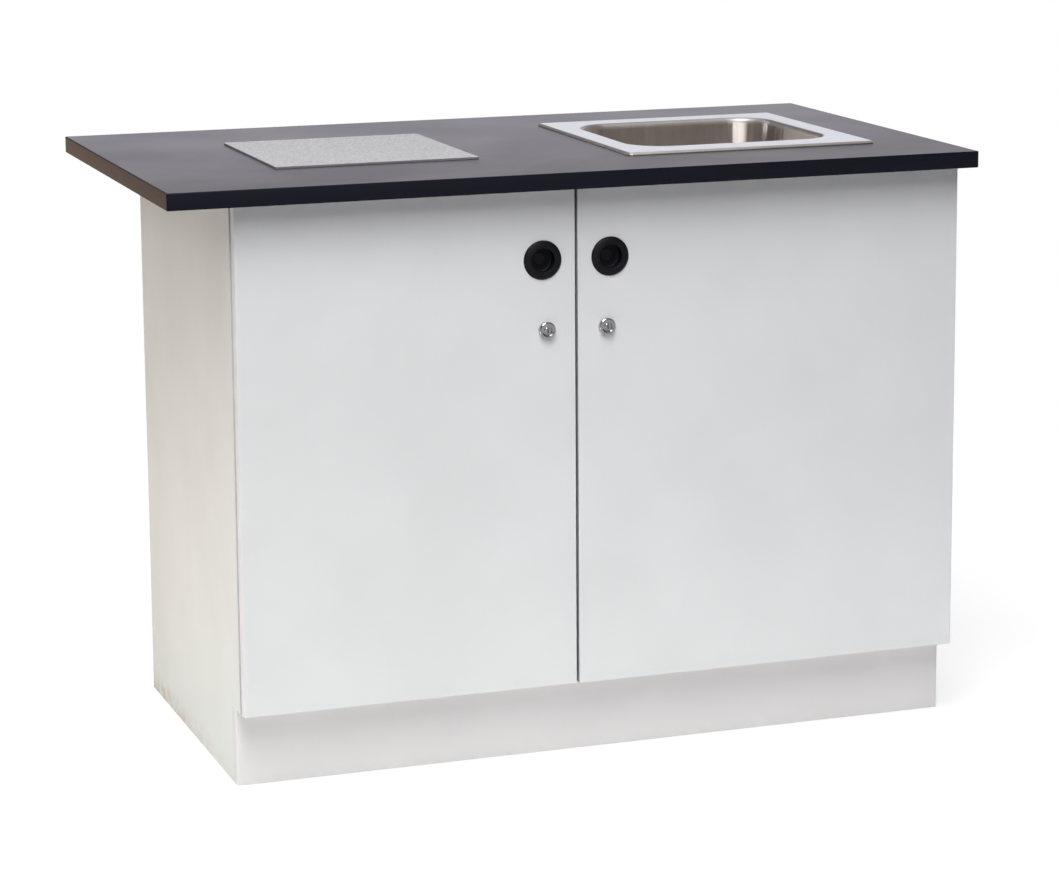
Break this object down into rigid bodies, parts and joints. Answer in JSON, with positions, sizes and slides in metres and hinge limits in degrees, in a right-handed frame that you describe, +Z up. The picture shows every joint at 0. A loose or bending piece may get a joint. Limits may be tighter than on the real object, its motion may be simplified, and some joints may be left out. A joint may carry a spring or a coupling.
{
  "type": "laboratory sink unit",
  "caption": "Base cupboard with hinged lockable doors, laminate worktop, inset steel sink with bottle trap, and a bonded heat mat, for washing up and bench work in a laboratory.",
  "frame": {"origin": "on the floor, under the middle of the worktop", "axes": "+X to the right of someone facing the doors, +Y to the back, +Z up"},
  "size_m": [1.2, 0.68, 0.864],
  "materials": {
    "black_laminate": "satin high-pressure laminate on chipboard",
    "black_edging": "satin edging strip",
    "speckled_mat": "matt speckled mineral sheet",
    "stainless_steel": "satin polished",
    "black_rubber": "matt",
    "zinc_plated_steel": "bright zinc",
    "chrome_plate": "polished",
    "white_plastic": "moulded",
    "cream_melamine": "fine-textured melamine on chipboard",
    "white_melamine": "fine-textured melamine on chipboard",
    "black_plastic": "moulded, satin"
  },
  "bodies": {
    "cabinet": {"worktop": "black_laminate", "worktop_edging": "black_edging", "heat_mat": "speckled_mat", "sink_bowl": "stainless_steel", "sink_seal": "black_rubber", "waste_washer": "black_rubber", "sink_clip_left_front": "zinc_plated_steel", "sink_clip_left_rear": "zinc_plated_steel", "sink_clip_right_front": "zinc_plated_steel", "sink_clip_right_rear": "zinc_plated_steel", "waste_flange": "chrome_plate", "waste_nut": "white_plastic", "trap_inlet_nut": "white_plastic", "trap_body": "white_plastic", "trap_cup": "white_plastic", "trap_outlet_nut": "white_plastic", "waste_pipe": "white_plastic", "side_panel_left": "cream_melamine", "side_panel_right": "white_melamine", "base_panel": "white_melamine", "partition": "white_melamine", "back_panel": "white_melamine", "front_rail_left": "white_melamine", "rear_rail_left": "white_melamine", "front_rail_right": "white_melamine", "rear_rail_right": "white_melamine", "plinth": "white_melamine", "shelf": "white_melamine", "shelf_pin_left_front": "zinc_plated_steel", "shelf_pin_left_rear": "zinc_plated_steel", "shelf_pin_right_front": "zinc_plated_steel", "shelf_pin_right_rear": "zinc_plated_steel", "hinge_arm_left_lower": "zinc_plated_steel", "hinge_plate_left_lower": "zinc_plated_steel", "hinge_arm_left_upper": "zinc_plated_steel", "hinge_plate_left_upper": "zinc_plated_steel", "hinge_arm_right_lower": "zinc_plated_steel", "hinge_plate_right_lower": "zinc_plated_steel", "hinge_arm_right_upper": "zinc_plated_steel", "hinge_plate_right_upper": "zinc_plated_steel"},
    "door_left": {"door_left": "white_melamine", "pull_left": "black_plastic", "lock_body_left": "chrome_plate", "lock_nut_left": "zinc_plated_steel", "hinge_cup_left_lower": "zinc_plated_steel", "hinge_pin_left_lower": "zinc_plated_steel", "hinge_cup_left_upper": "zinc_plated_steel", "hinge_pin_left_upper": "zinc_plated_steel"},
    "lock_left": {"lock_plug_left": "chrome_plate", "lock_cam_left": "zinc_plated_steel"},
    "door_right": {"door_right": "white_melamine", "pull_right": "black_plastic", "lock_body_right": "chrome_plate", "lock_nut_right": "zinc_plated_steel", "hinge_cup_right_lower": "zinc_plated_steel", "hinge_pin_right_lower": "zinc_plated_steel", "hinge_cup_right_upper": "zinc_plated_steel", "hinge_pin_right_upper": "zinc_plated_steel"},
    "lock_right": {"lock_plug_right": "chrome_plate", "lock_cam_right": "zinc_plated_steel"}
  },
  "joints": [
    {"name": "door_left_hinge", "type": "hinge", "parent": "cabinet", "child": "door_left", "pos_m": [-0.4908, -0.2875, 0.472], "axis": [0, 0, -1], "range_deg": [0, 90]},
    {"name": "door_right_hinge", "type": "hinge", "parent": "cabinet", "child": "door_right", "pos_m": [0.5808, -0.2875, 0.472], "axis": [0, 0, 1], "range_deg": [0, 90]},
    {"name": "lock_left_turn", "type": "hinge", "parent": "door_left", "child": "lock_left", "pos_m": [-0.05, -0.295, 0.632], "axis": [0, -1, 0], "range_deg": [0, 90]},
    {"name": "lock_right_turn", "type": "hinge", "parent": "door_right", "child": "lock_right", "pos_m": [0.04, -0.295, 0.632], "axis": [0, 1, 0], "range_deg": [0, 90]}
  ]
}
